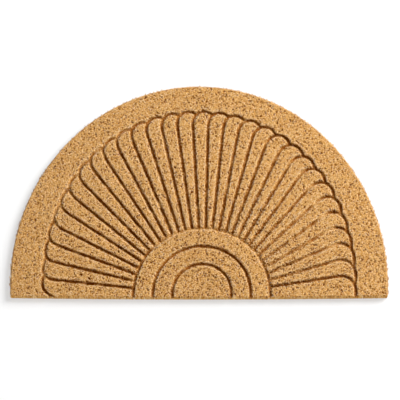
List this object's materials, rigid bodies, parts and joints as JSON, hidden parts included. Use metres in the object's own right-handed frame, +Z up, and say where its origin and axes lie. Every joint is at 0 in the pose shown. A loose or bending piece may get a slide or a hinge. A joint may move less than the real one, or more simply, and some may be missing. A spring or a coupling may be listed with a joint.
{
  "type": "half-round coir doormat",
  "caption": "Flat half-round coir doormat with a moulded relief: petals fanned around concentric half rings at the middle of the straight front edge.",
  "frame": {"origin": "middle of the mat's bounding box, on the underside that lies on the floor", "axes": "+X to the right along the straight front edge, +Y from the straight front edge towards the round back edge, +Z up out of the pile"},
  "size_m": [0.761, 0.4647, 0.015],
  "materials": {
    "coir": "rough natural coir pile, golden tan"
  },
  "bodies": {
    "root": {"coir_mat": "coir"}
  },
  "joints": []
}
